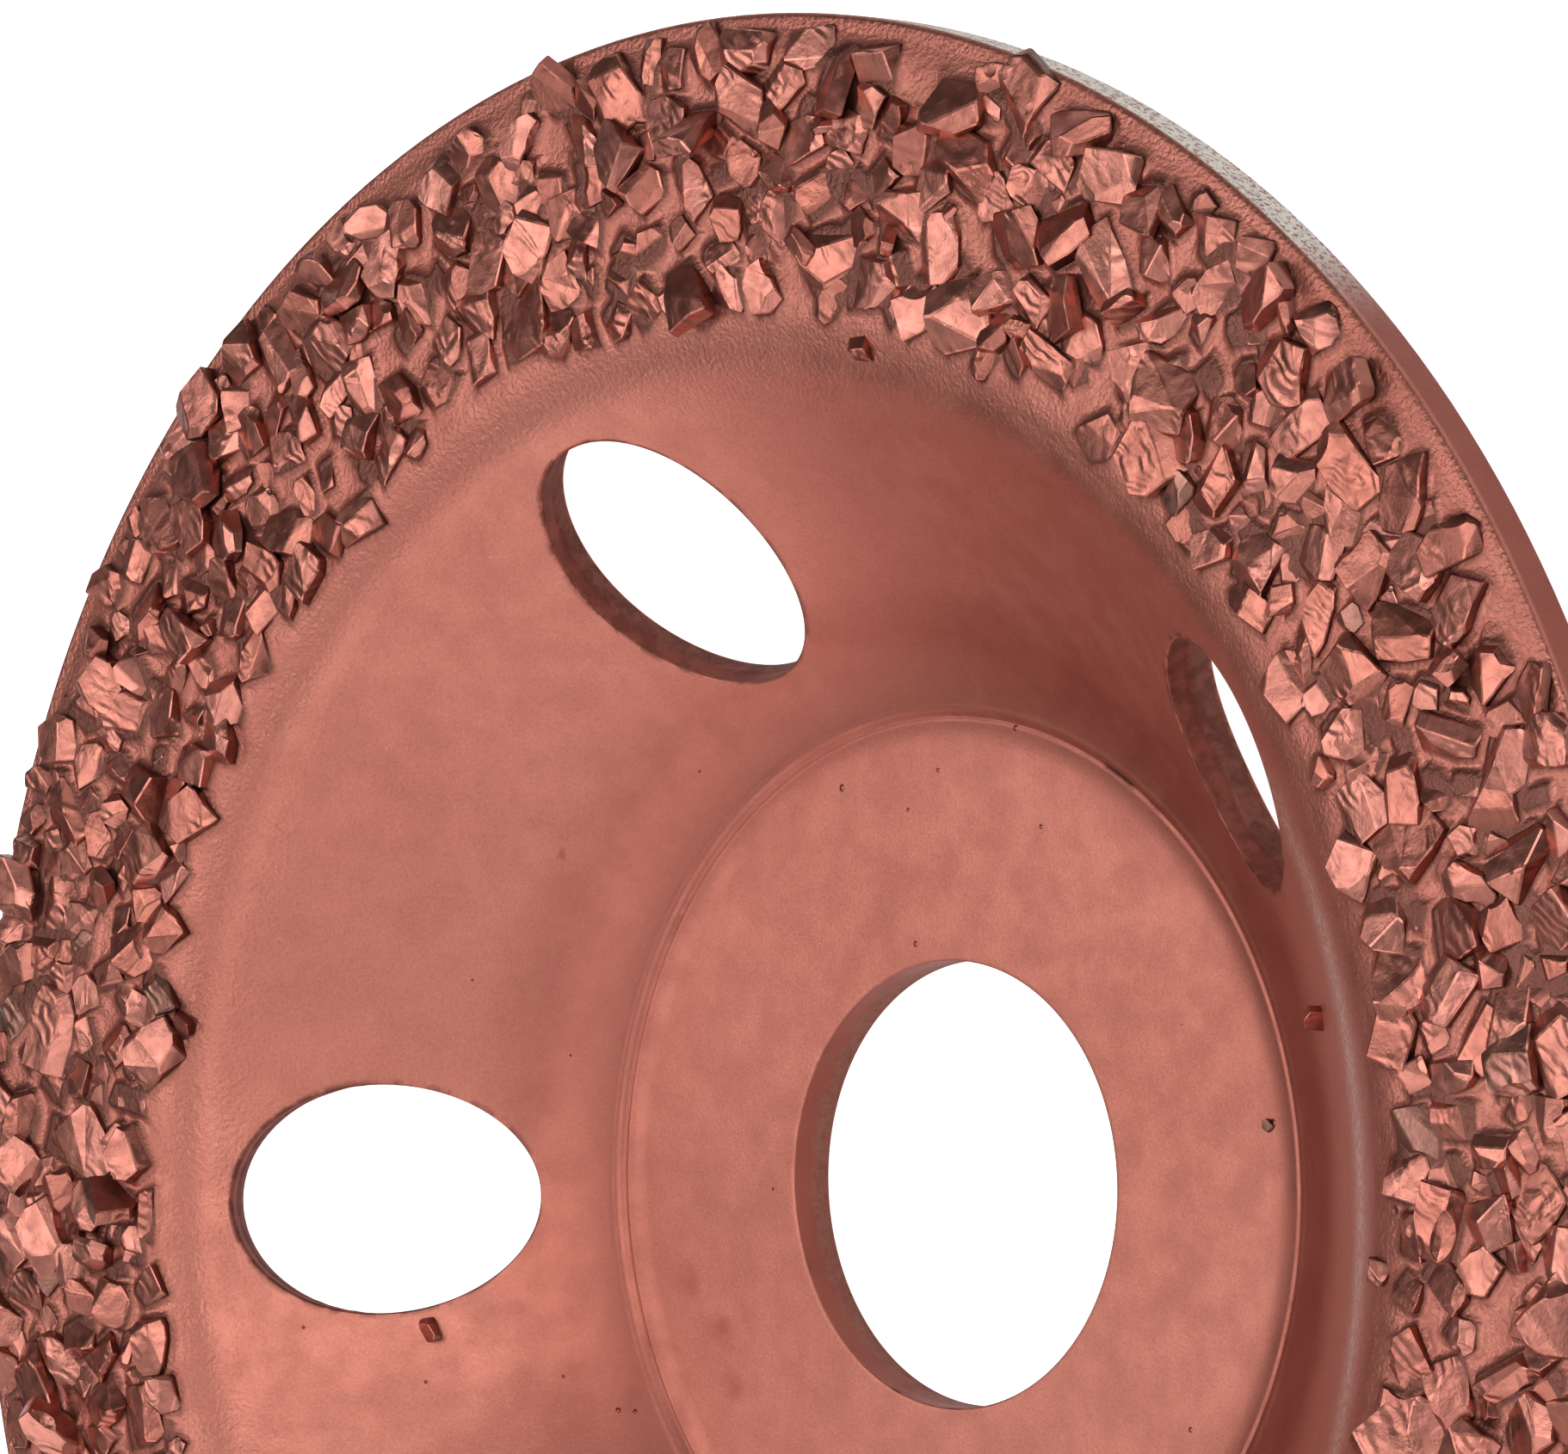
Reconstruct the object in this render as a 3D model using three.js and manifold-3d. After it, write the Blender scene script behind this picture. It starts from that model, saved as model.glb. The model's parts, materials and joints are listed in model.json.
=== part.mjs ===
// Angle grinder carving disc: a pressed steel cup whose flat rim carries brazed carbide grit.
// Millimetres. The origin is the centre of the hub's back face, and +Z points out of the cup.

import * as THREE from 'three';
import { ConvexGeometry } from 'three/addons/geometries/ConvexGeometry.js';
import { mergeVertices } from 'three/addons/utils/BufferGeometryUtils.js';
import Module from 'manifold-3d';

const wasm = await Module();
wasm.setup();

// Steel cup
const rimDiameter = 114.3;
const boreDiameter = 22.23;
const sheetThickness = 2.5;
const cupDepth = 15.25; // from the hub's front face to the rim's front face
const hubFlatDiameter = 43.4; // flat seat for the flange and the lock nut
const creaseDiameter = 46.6; // pressed line where the wall starts
const creaseLift = 0.25;
const footAngle = 22; // slope of the wall just outside the crease, in degrees
const footBlendRadius = 14;
const wallAngle = 42.6; // slope of the straight wall, in degrees
const kneeRadius = 5; // between the wall and the flat rim
const edgeBreak = 0.3; // on the rim's two corners
const boreEdgeBreak = 0.2;
const cupSegments = 60;
const arcSteps = 3;

// Vents through the wall
const ventCount = 5;
const ventDiameter = 11.8; // seen along the disc's axis
const ventInset = 0.4; // from the middle of the wall, towards the hub
const ventTilt = 26.6; // of the vent's wall from the disc's axis, in degrees
const firstVentAngle = 180;
const ventSides = 28;

// Braze and grit
const sectorCount = 36;
const seatGap = 0.3; // clearance between pieces that touch
const brazeThickness = 0.5;
const gritKneeMargin = 0.4; // between the knee and the grit
const gritRimMargin = 0.3; // between the grit and the rim's edge
const innerLobe = 0.7; // how far the grit's inner outline wanders
const outlineSteps = 4;
const grainRows = 4;
const grainPitch = 3.6;
const grainSize = 3.7;
const grainHeight = 1.8; // above the braze
const footCorners = 4; // of a grain, where the braze holds it
const topCorners = 3;
const strayGrainSize = 2.1;
const strayGrainHeight = 1.2;

const paintedSteel = { color: 0xb4655a, roughness: 0.45, metalness: 0.55 };
const paintedGrit = { color: 0xa85c50, roughness: 0.4, metalness: 0.6 };

const radians = THREE.MathUtils.degToRad;
const rimRadius = rimDiameter / 2;
const boreRadius = boreDiameter / 2;
const rimTop = sheetThickness + cupDepth;

// A repeatable stream of numbers from 0 to 1.
function seededRandom(seed) {
  let state = seed;
  return function next() {
    state = (state + 0x6d2b79f5) | 0;
    let mixed = Math.imul(state ^ (state >>> 15), 1 | state);
    mixed = (mixed + Math.imul(mixed ^ (mixed >>> 7), 61 | mixed)) ^ mixed;
    return ((mixed ^ (mixed >>> 14)) >>> 0) / 4294967296;
  };
}

// The cup's front surface from the hub's flat to the knee, as points with their slope.
function frontSurface() {
  const foot = radians(footAngle);
  const wall = radians(wallAngle);
  const lift = Math.atan2(creaseLift, (creaseDiameter - hubFlatDiameter) / 2);
  const points = [
    { r: hubFlatDiameter / 2, z: sheetThickness, slope: 0 },
    { r: creaseDiameter / 2, z: sheetThickness + creaseLift, slope: (lift + foot) / 2 },
  ];
  const crease = points[1];
  const footCentreR = crease.r - footBlendRadius * Math.sin(foot);
  const footCentreZ = crease.z + footBlendRadius * Math.cos(foot);
  for (let step = 1; step <= arcSteps; step += 1) {
    const slope = THREE.MathUtils.lerp(foot, wall, step / arcSteps);
    points.push({
      r: footCentreR + footBlendRadius * Math.sin(slope),
      z: footCentreZ - footBlendRadius * Math.cos(slope),
      slope,
    });
  }
  const footEnd = points[points.length - 1];
  const kneeStartZ = rimTop - kneeRadius * (1 - Math.cos(wall));
  const kneeStartR = footEnd.r + (kneeStartZ - footEnd.z) / Math.tan(wall);
  const kneeCentreR = kneeStartR + kneeRadius * Math.sin(wall);
  for (let step = 0; step <= arcSteps; step += 1) {
    const slope = THREE.MathUtils.lerp(wall, 0, step / arcSteps);
    points.push({
      r: kneeCentreR - kneeRadius * Math.sin(slope),
      z: rimTop - kneeRadius * (1 - Math.cos(slope)),
      slope,
    });
  }
  return { points, wallStartR: footEnd.r, wallEndR: kneeStartR, kneeEndR: kneeCentreR };
}

const front = frontSurface();
const ventCentreRadius = (front.wallStartR + front.wallEndR) / 2 - ventInset;
const gritInnerRadius = front.kneeEndR + gritKneeMargin;
const gritOuterRadius = rimRadius - gritRimMargin;

// Height and slope of the front surface at a radius.
function surfaceAt(radius) {
  const { points } = front;
  for (let index = 1; index < points.length; index += 1) {
    const near = points[index - 1];
    const far = points[index];
    if (radius <= far.r) {
      const share = Math.max(0, (radius - near.r) / (far.r - near.r));
      return {
        z: THREE.MathUtils.lerp(near.z, far.z, share),
        slope: THREE.MathUtils.lerp(near.slope, far.slope, share),
      };
    }
  }
  return { z: rimTop, slope: 0 };
}

function toSolid(geometry) {
  const bare = new THREE.BufferGeometry();
  bare.setAttribute('position', geometry.getAttribute('position'));
  bare.setIndex(geometry.getIndex());
  const merged = mergeVertices(bare, 1e-5);
  return new wasm.Manifold(new wasm.Mesh({
    numProp: 3,
    vertProperties: new Float32Array(merged.getAttribute('position').array),
    triVerts: new Uint32Array(merged.getIndex().array),
  }));
}

function toGeometry(solid) {
  const mesh = solid.getMesh();
  const geometry = new THREE.BufferGeometry();
  geometry.setAttribute('position', new THREE.BufferAttribute(mesh.vertProperties, 3));
  geometry.setIndex(new THREE.BufferAttribute(mesh.triVerts, 1));
  geometry.computeVertexNormals();
  return geometry;
}

function namedMesh(name, geometry, look) {
  const mesh = new THREE.Mesh(geometry, new THREE.MeshStandardMaterial(look));
  mesh.name = name;
  return mesh;
}

// The pressed cup: one sheet of steel turned about the axis, before its vents are cut.
function cupBlank() {
  const back = front.points.map(({ r, z, slope }) => new THREE.Vector2(
    r + sheetThickness * Math.sin(slope),
    z - sheetThickness * Math.cos(slope),
  ));
  const face = front.points.map(({ r, z }) => new THREE.Vector2(r, z)).reverse();
  const outline = [
    new THREE.Vector2(boreRadius, boreEdgeBreak),
    new THREE.Vector2(boreRadius + boreEdgeBreak, 0),
    ...back,
    new THREE.Vector2(rimRadius - edgeBreak, rimTop - sheetThickness),
    new THREE.Vector2(rimRadius, rimTop - sheetThickness + edgeBreak),
    new THREE.Vector2(rimRadius, rimTop - edgeBreak),
    new THREE.Vector2(rimRadius - edgeBreak, rimTop),
    ...face,
    new THREE.Vector2(boreRadius + boreEdgeBreak, sheetThickness),
    new THREE.Vector2(boreRadius, sheetThickness - boreEdgeBreak),
  ];
  outline.push(outline[0].clone());
  const blank = new THREE.LatheGeometry(outline, cupSegments);
  blank.rotateX(Math.PI / 2);
  return blank;
}

// A vent's cutter is oval across its own tilted axis, so that the vent is round along the disc's.
function ventCutter(angle) {
  const tilt = radians(ventTilt);
  const halfWidth = ventDiameter / 2;
  const rise = halfWidth * Math.tan(radians(wallAngle));
  const halfLength = halfWidth * Math.cos(tilt) + rise * Math.sin(tilt);
  const cutter = new THREE.CylinderGeometry(1, 1, 12 * sheetThickness, ventSides);
  cutter.rotateX(Math.PI / 2);
  cutter.scale(halfLength, halfWidth, 1);
  cutter.rotateY(-tilt);
  cutter.translate(ventCentreRadius, 0, surfaceAt(ventCentreRadius).z);
  cutter.rotateZ(radians(angle));
  return cutter;
}

function steelCup() {
  let solid = toSolid(cupBlank());
  for (let vent = 0; vent < ventCount; vent += 1) {
    const angle = firstVentAngle + (vent * 360) / ventCount;
    solid = solid.subtract(toSolid(ventCutter(angle)));
  }
  return namedMesh('steel_cup', toGeometry(solid), paintedSteel);
}

// A crushed grain: the hull of a ring of corners at its foot and an uneven ring above.
function grainGeometry(random, size, height, footHeight) {
  const corners = [];
  function addRing(count, minReach, maxReach, heightOf) {
    for (let corner = 0; corner < count; corner += 1) {
      const turn = ((corner + 0.5 * random()) * 2 * Math.PI) / count;
      const reach = size * THREE.MathUtils.lerp(minReach, maxReach, random());
      corners.push(new THREE.Vector3(reach * Math.cos(turn), reach * Math.sin(turn), heightOf()));
    }
  }
  addRing(footCorners, 0.36, 0.5, () => footHeight);
  addRing(topCorners, 0.22, 0.44, () => height * THREE.MathUtils.lerp(0.55, 1, random()));
  return new ConvexGeometry(corners);
}

// Points along an arc between a sector's two sides, which keep half a gap to the neighbours.
function sectorArc(radiusAt, steps) {
  const points = [];
  for (let step = 0; step <= steps; step += 1) {
    const share = step / steps;
    const radius = radiusAt(share);
    const halfAngle = Math.PI / sectorCount - Math.asin(seatGap / 2 / radius);
    const angle = THREE.MathUtils.lerp(-halfAngle, halfAngle, share);
    points.push(new THREE.Vector2(radius * Math.cos(angle), radius * Math.sin(angle)));
  }
  return points;
}

function sectorSlab(innerPoints, height) {
  const outerPoints = sectorArc(() => gritOuterRadius, outlineSteps);
  const outline = new THREE.Shape([...outerPoints, ...innerPoints.reverse()]);
  return new THREE.ExtrudeGeometry(outline, { depth: height, bevelEnabled: false });
}

// One sector of the rim's coat, lying on local +X: a braze film with its grains bedded in it.
function gritSector(index) {
  const random = seededRandom(1000 + index);
  const lobed = sectorArc(() => gritInnerRadius + innerLobe * random(), outlineSteps);
  const plain = sectorArc(() => gritInnerRadius, outlineSteps);
  const film = toSolid(sectorSlab(lobed, brazeThickness));
  const room = toSolid(sectorSlab(plain, brazeThickness + grainHeight * 2));
  const rowPitch = (gritOuterRadius - gritInnerRadius) / grainRows;
  let grains = null;
  for (let row = 0; row < grainRows; row += 1) {
    const rowRadius = gritInnerRadius + (row + 0.5) * rowPitch;
    const rowLength = (rowRadius * 2 * Math.PI) / sectorCount;
    const rowCount = Math.max(1, Math.round(rowLength / grainPitch));
    for (let column = 0; column < rowCount; column += 1) {
      const sideways = ((column + 0.5) / rowCount - 0.5) * rowLength + 0.5 * (random() - 0.5);
      const radius = rowRadius + 0.7 * (random() - 0.5);
      const size = grainSize * THREE.MathUtils.lerp(0.8, 1.1, random());
      const height = brazeThickness + grainHeight * THREE.MathUtils.lerp(0.6, 1, random());
      const grain = grainGeometry(random, size, height, brazeThickness / 4);
      grain.rotateZ(2 * Math.PI * random());
      grain.translate(radius, sideways, 0);
      const solid = toSolid(grain);
      grains = grains ? grains.add(solid) : solid;
    }
  }
  const name = `grit_sector_${String(index + 1).padStart(2, '0')}`;
  const sector = namedMesh(name, toGeometry(film.add(grains.intersect(room))), paintedGrit);
  sector.position.z = rimTop + seatGap;
  sector.rotation.z = ((index + 0.5) * 2 * Math.PI) / sectorCount;
  return sector;
}

// Grains that landed outside the coat, each standing on the cup's front surface.
const ventGrainX = ventCentreRadius - 1.5;
const ventGrainY = (ventDiameter + strayGrainSize) / 2;
const ventGrainAngle = firstVentAngle + THREE.MathUtils.radToDeg(Math.atan2(ventGrainY, ventGrainX));
const strayPlaces = [
  {
    name: 'stray_grain_vent',
    radius: Math.hypot(ventGrainX, ventGrainY),
    angle: ventGrainAngle,
    share: 1,
  },
  { name: 'stray_grain_wall', radius: ventCentreRadius - 1, angle: 13.5, share: 0.75 },
  { name: 'stray_grain_hub', radius: hubFlatDiameter / 2 - 0.4, angle: 6.9, share: 0.45 },
  { name: 'stray_grain_knee_1', radius: front.kneeEndR - 1.4, angle: 167, share: 0.9 },
  { name: 'stray_grain_knee_2', radius: front.kneeEndR - 1.4, angle: 354.2, share: 0.9 },
  { name: 'stray_grain_knee_3', radius: front.kneeEndR - 1.4, angle: 75.8, share: 0.8 },
];

function strayGrain({ name, radius, angle, share }, index) {
  const random = seededRandom(2000 + index);
  const size = strayGrainSize * share;
  const geometry = grainGeometry(random, size, strayGrainHeight * share, 0);
  const { z, slope } = surfaceAt(radius);
  const grain = namedMesh(name, geometry, paintedGrit);
  grain.position.set(
    radius - seatGap * Math.sin(slope),
    0,
    z + seatGap * Math.cos(slope),
  );
  grain.rotation.y = -slope;
  const turned = new THREE.Group();
  turned.rotation.z = radians(angle);
  turned.add(grain);
  return turned;
}

const disc = new THREE.Group();
disc.add(steelCup());
for (let index = 0; index < sectorCount; index += 1) {
  disc.add(gritSector(index));
}
strayPlaces.forEach((place, index) => disc.add(strayGrain(place, index)));

export default disc;
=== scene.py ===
import json
import math

import bmesh
import bpy
import numpy as np
from mathutils import Matrix, Vector, noise


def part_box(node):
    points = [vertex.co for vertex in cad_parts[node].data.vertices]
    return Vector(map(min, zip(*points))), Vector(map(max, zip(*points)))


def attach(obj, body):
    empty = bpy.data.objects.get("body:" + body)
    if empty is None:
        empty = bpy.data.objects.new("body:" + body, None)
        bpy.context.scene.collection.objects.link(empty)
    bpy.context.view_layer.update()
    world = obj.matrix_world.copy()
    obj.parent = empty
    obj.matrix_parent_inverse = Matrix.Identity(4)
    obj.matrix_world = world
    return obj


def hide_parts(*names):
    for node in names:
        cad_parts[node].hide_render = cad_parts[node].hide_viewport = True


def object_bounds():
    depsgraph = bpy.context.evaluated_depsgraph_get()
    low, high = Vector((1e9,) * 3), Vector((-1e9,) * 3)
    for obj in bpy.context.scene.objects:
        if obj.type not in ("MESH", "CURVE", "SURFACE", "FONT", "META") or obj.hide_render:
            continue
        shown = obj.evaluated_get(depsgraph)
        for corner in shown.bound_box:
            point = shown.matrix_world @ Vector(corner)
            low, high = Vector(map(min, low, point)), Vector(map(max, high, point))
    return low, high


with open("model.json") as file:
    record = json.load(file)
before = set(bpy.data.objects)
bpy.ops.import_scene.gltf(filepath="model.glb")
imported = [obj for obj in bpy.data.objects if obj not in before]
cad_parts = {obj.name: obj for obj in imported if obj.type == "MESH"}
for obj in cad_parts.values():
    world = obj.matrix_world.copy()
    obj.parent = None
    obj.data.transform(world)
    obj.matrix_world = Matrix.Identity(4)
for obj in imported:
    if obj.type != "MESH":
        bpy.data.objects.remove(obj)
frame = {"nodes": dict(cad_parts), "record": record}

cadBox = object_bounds()
mm = 0.001
cupLow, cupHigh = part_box("steel_cup")
mounts = {mount["name"]: mount for mount in frame["record"]["mounts"]}
print("frame loaded:", len(frame["nodes"]), "nodes")


# small helpers used by every piece

def smoothStep(low, high, value):
    t = np.clip((value - low) / (high - low), 0, 1)
    return t * t * (3 - 2 * t)


def noiseAt(points, scale, seed=0.0):
    # mathutils noise at every point, about -1 to 1
    shift = Vector((seed, seed * 0.37, -seed))
    return np.array([noise.noise(Vector(p) * scale + shift) for p in points])


def gridPatch(rows, **marks):
    # closed rings of points that run side by side, as quads; marks are per-point values
    rows = np.asarray(rows, float)
    count, width = rows.shape[:2]
    index = np.arange(count * width).reshape(count, width)
    across = np.roll(index, -1, axis=1)
    quads = np.stack([index[:-1], across[:-1], across[1:], index[1:]], -1).reshape(-1, 4)
    marks = {name: np.broadcast_to(value, rows.shape[:2]).reshape(-1)
             for name, value in marks.items()}
    return {"points": rows.reshape(-1, 3), "quads": quads, "marks": marks}


def addObject(name, data):
    thing = bpy.data.objects.new(name, data)
    bpy.context.scene.collection.objects.link(thing)
    return thing


def writeMark(mesh, name, values):
    # a number for every point, which the materials read
    layer = mesh.attributes.new(name, "FLOAT", "POINT")
    layer.data.foreach_set("value", np.concatenate(values).astype(np.float32))


def weldPatches(name, patches, markNames, weld=2e-6):
    # joins patches whose edges share points into one closed mesh
    points = np.concatenate([patch["points"] for patch in patches])
    starts = np.cumsum([0] + [len(patch["points"]) for patch in patches[:-1]])
    quads = np.concatenate([patch["quads"] + start for patch, start in zip(patches, starts)])
    mesh = bpy.data.meshes.new(name)
    mesh.from_pydata(points.tolist(), [], quads.tolist())
    for mark in markNames:
        writeMark(mesh, mark, [patch["marks"].get(mark, np.zeros(len(patch["points"])))
                               for patch in patches])
    work = bmesh.new()
    work.from_mesh(mesh)
    bmesh.ops.remove_doubles(work, verts=work.verts, dist=weld)
    bmesh.ops.recalc_face_normals(work, faces=work.faces)
    work.to_mesh(mesh)
    work.free()
    mesh.polygons.foreach_set("use_smooth", [True] * len(mesh.polygons))
    return addObject(name, mesh)


def radiusOf(points):
    return np.hypot(points[..., 0], points[..., 1])


def ringPoints(radius, height, turns):
    # one ring of points; radius and height may vary round it
    radius = np.broadcast_to(radius, turns.shape)
    height = np.broadcast_to(height, turns.shape)
    return np.stack([radius * np.cos(turns), radius * np.sin(turns), height], -1)


# shader helpers

def newMaterial(name):
    material = bpy.data.materials.new(name)
    material.use_nodes = True
    return material, material.node_tree


def feed(tree, plug, value):
    # a socket is linked to the input, a number or a vector is set on it
    if isinstance(value, bpy.types.NodeSocket):
        tree.links.new(value, plug)
    else:
        plug.default_value = value


def addNode(tree, kind, **settings):
    # a setting goes to the input of that name, or to the node's own property
    node = tree.nodes.new(kind)
    for key, value in settings.items():
        if key in node.inputs:
            feed(tree, node.inputs[key], value)
        else:
            setattr(node, key, value)
    return node


def noiseTexture(tree, coords, scale, detail, roughness=0.55, distortion=0.0):
    return addNode(tree, "ShaderNodeTexNoise", Vector=coords, Scale=scale, Detail=detail,
                   Roughness=roughness, Distortion=distortion).outputs["Fac"]


def remap(tree, value, fromLow, fromHigh, toLow=0.0, toHigh=1.0):
    node = addNode(tree, "ShaderNodeMapRange", interpolation_type="SMOOTHSTEP")
    for plug, setting in zip(node.inputs, (value, fromLow, fromHigh, toLow, toHigh)):
        feed(tree, plug, setting)
    return node.outputs["Result"]


def noiseMask(tree, coords, pattern, toLow=0.0, toHigh=1.0):
    # a pattern is a noise's scale, detail and roughness, and the two levels it fades between
    scale, detail, roughness, low, high = pattern
    return remap(tree, noiseTexture(tree, coords, scale, detail, roughness), low, high,
                 toLow, toHigh)


def calc(tree, operation, a, b):
    node = addNode(tree, "ShaderNodeMath", operation=operation)
    feed(tree, node.inputs[0], a)
    feed(tree, node.inputs[1], b)
    return node.outputs[0]


def times(tree, a, b):
    return calc(tree, "MULTIPLY", a, b)


def plus(tree, a, b):
    return calc(tree, "ADD", a, b)


def mixColour(tree, factor, a, b):
    # the factor is a socket, and each colour is a socket or three numbers
    node = addNode(tree, "ShaderNodeMix", data_type="RGBA")
    tree.links.new(factor, node.inputs[0])
    for plug, value in ((node.inputs[6], a), (node.inputs[7], b)):
        feed(tree, plug, (*value, 1.0) if isinstance(value, tuple) else value)
    return node.outputs[2]


def tint(tree, colour, mask, strength, toward):
    # carries a colour toward another where the mask is, as far as the strength says
    return mixColour(tree, times(tree, mask, strength), colour, toward)


def vectorMath(tree, operation, *values):
    node = addNode(tree, "ShaderNodeVectorMath", operation=operation)
    for plug, value in zip(node.inputs, values):
        feed(tree, plug, value)
    return node


def pieceCoords(tree):
    return addNode(tree, "ShaderNodeTexCoord").outputs["Object"]


def markValue(tree, name):
    return addNode(tree, "ShaderNodeAttribute", attribute_name=name).outputs["Fac"]


def addBump(tree, height, distance, normal=None):
    node = addNode(tree, "ShaderNodeBump", Height=height, Strength=1.0, Distance=distance)
    if normal is not None:
        tree.links.new(normal, node.inputs["Normal"])
    return node.outputs["Normal"]


def connect(tree, colour, metallic, rough, normal):
    shader = tree.nodes["Principled BSDF"]
    tree.links.new(colour, shader.inputs["Base Color"])
    tree.links.new(rough, shader.inputs["Roughness"])
    tree.links.new(normal, shader.inputs["Normal"])
    shader.inputs["Metallic"].default_value = metallic


def occlusionShade(tree, reach):
    # painted shade from ambient occlusion: 1 deep between things that stand close together, 0 in
    # the open
    node = addNode(tree, "ShaderNodeAmbientOcclusion", Distance=reach, samples=3)
    return remap(tree, node.outputs["AO"], 0.12, 0.62, 1.0, 0.0)


# the copper enamel that covers every piece

enamel = {
    "light": (0.60, 0.225, 0.170),
    "crest": (0.67, 0.265, 0.205),  # where it lies thin over a grain's top
    "middle": (0.53, 0.185, 0.136),
    "deep": (0.34, 0.095, 0.068),
    # dark: for pits, and for painted shade in hollows, creases, crevices and round nibs
    "soot": (0.060, 0.028, 0.022),
    # pale: for the dust specks, and for the painted highlight along the wall's top
    "dust": (0.82, 0.68, 0.60),
    "metallic": 0.92,
    "roughness": (0.41, 0.50),
    # patterns, as noiseMask takes them
    "cloud": (34, 2, 0.55, 0.25, 0.75),
    "blotch": (170, 4, 0.55, 0.34, 0.72),
    "mottle": (1500, 2, 0.55, 0.30, 0.72),
    "blotchDark": 0.07,
    "mottleDark": 0.10,
    "powderSize": 0.14 * mm,  # of the metal powder in the paint
    "powderLight": 0.30,
    "powderDark": 0.22,
    "peelSize": 0.25 * mm,  # of the orange peel
    "peelDepth": 0.014 * mm,
    "flakeSize": 0.07 * mm,
    "flakeDepth": 0.006 * mm,
}


def enamelColour(tree, coords):
    # cloudy tone over the whole disc, softer blotches, then fine mottling
    cloud = noiseMask(tree, coords, enamel["cloud"])
    blotch = noiseMask(tree, coords, enamel["blotch"])
    mottle = noiseMask(tree, coords, enamel["mottle"])
    colour = mixColour(tree, cloud, enamel["middle"], enamel["light"])
    colour = tint(tree, colour, blotch, enamel["blotchDark"], enamel["deep"])
    colour = tint(tree, colour, mottle, enamel["mottleDark"], enamel["deep"])
    # the metal powder, seen as a fine light and dark grain
    powder = noiseTexture(tree, coords, 1 / enamel["powderSize"], 1.5, 0.7)
    light, dark = remap(tree, powder, 0.50, 0.68), remap(tree, powder, 0.50, 0.30)
    colour = tint(tree, colour, light, enamel["powderLight"], enamel["crest"])
    return tint(tree, colour, dark, enamel["powderDark"], enamel["deep"])


def speckles(tree, coords, size, chance, radius):
    # sparse round dots: one point in each cell, and only some of the cells
    cells = addNode(tree, "ShaderNodeTexVoronoi", Vector=coords, Scale=1 / size)
    edge = radius / size
    dot = remap(tree, cells.outputs["Distance"], edge * 0.6, edge, 1.0, 0.0)
    pick = addNode(tree, "ShaderNodeSeparateColor", Color=cells.outputs["Color"])
    return times(tree, dot, calc(tree, "LESS_THAN", pick.outputs[0], chance))


def enamelBumps(tree, coords, peelShare):
    # peelShare is a number, or a socket where the peel changes over the piece
    peel = noiseTexture(tree, coords, 1 / enamel["peelSize"], 1.5)
    flake = noiseTexture(tree, coords, 1 / enamel["flakeSize"], 1)
    normal = addBump(tree, times(tree, peel, peelShare), enamel["peelDepth"])
    return addBump(tree, flake, enamel["flakeDepth"], normal)


blemishes = {
    # each by its radius in mm, its angle in degrees, its width in mm and its strength; the three on
    # the hub at 194 to 212 degrees are a painted shade arc, the others stains
    "stains": [(28.9, 143, 1.1, 0.75), (19.6, 194, 2.6, 0.50), (18.2, 203, 2.6, 0.60),
               (18.8, 212, 2.8, 0.50), (27.0, 199, 2.2, 0.30), (24.9, 205, 2.4, 0.35),
               (27.5, 62, 3.0, 0.25), (30.5, 262, 3.2, 0.30), (20.4, 301, 2.5, 0.35)],
    "stainRag": 1.6 * mm,  # how ragged its edge is
    "stainCore": 0.15,  # share of its width that is full strength
    # each by its radius in mm, its angle in degrees and its width in mm
    "nibs": [(21.2, 108.8, 0.42), (18.8, 68.6, 0.26), (20.6, 90.3, 0.28), (18.9, 96.9, 0.26),
             (12.2, 99.4, 0.34), (23.1, 76.2, 0.36), (25.6, 206, 0.34), (24.9, 207, 0.30),
             (21.7, 6.9, 0.40), (16.1, 251, 0.30), (19.7, 322, 0.30), (34.5, 290, 0.36)],
    "nibRag": 0.22 * mm,
    "nibCore": 0.20,
    "nibHeight": 0.07 * mm,
    # specks by the size of the cell that each lies in, the share of cells with one, its radius
    "dust": (1.5 * mm, 0.30, 0.055 * mm),
    "pits": (2.6 * mm, 0.30, 0.10 * mm),
    "dustLight": 0.75,
    "pitDark": 0.70,
    "speckDepth": 0.04 * mm,
}


def spotValue(tree, coords, radius, angle, width, core):
    # 1 in the middle of a named spot, falling to 0 at its edge
    turn = math.radians(angle)
    middle = (radius * mm * math.cos(turn), radius * mm * math.sin(turn),
              float(faceHeight(radius * mm)))
    away = vectorMath(tree, "DISTANCE", coords, middle).outputs["Value"]
    reach = width * mm / 2
    return remap(tree, away, reach * core, reach, 1.0, 0.0)


def wornCoords(tree, coords, amount):
    # coordinates pushed about by noise, so that spots get ragged edges
    push = addNode(tree, "ShaderNodeTexNoise", Vector=coords, Scale=700, Detail=3)
    centred = vectorMath(tree, "SUBTRACT", push.outputs["Color"], (0.5, 0.5, 0.5))
    amounts = (amount, amount, amount)
    worn = vectorMath(tree, "MULTIPLY_ADD", centred.outputs["Vector"], amounts, coords)
    return worn.outputs["Vector"]


cupFinish = {
    "bareSteel": (0.40, 0.28, 0.225),
    "brightSteel": (0.90, 0.85, 0.77),
    "hollowDark": 0.55,  # painted shade in the hollow round the hub and on the holes' walls; it also darkens the rim's edge
    # strength of the painted highlight along the wall's top
    "dryLight": 0.95,
    # patterns, as noiseMask takes them
    "dry": (3000, 3, 0.70, 0.42, 0.60),
    "grime": (900, 3, 0.55, 0.42, 0.56),
    "rub": (3800, 3, 0.75, 0.36, 0.52),
    "sheen": (420, 3, 0.55, 0.30, 0.70),
    "breakScale": 2600,  # of the raw break in the punched holes
    "breakDepth": 0.12 * mm,
    "breakRoughness": 0.22,  # on top of the enamel's
}


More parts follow.
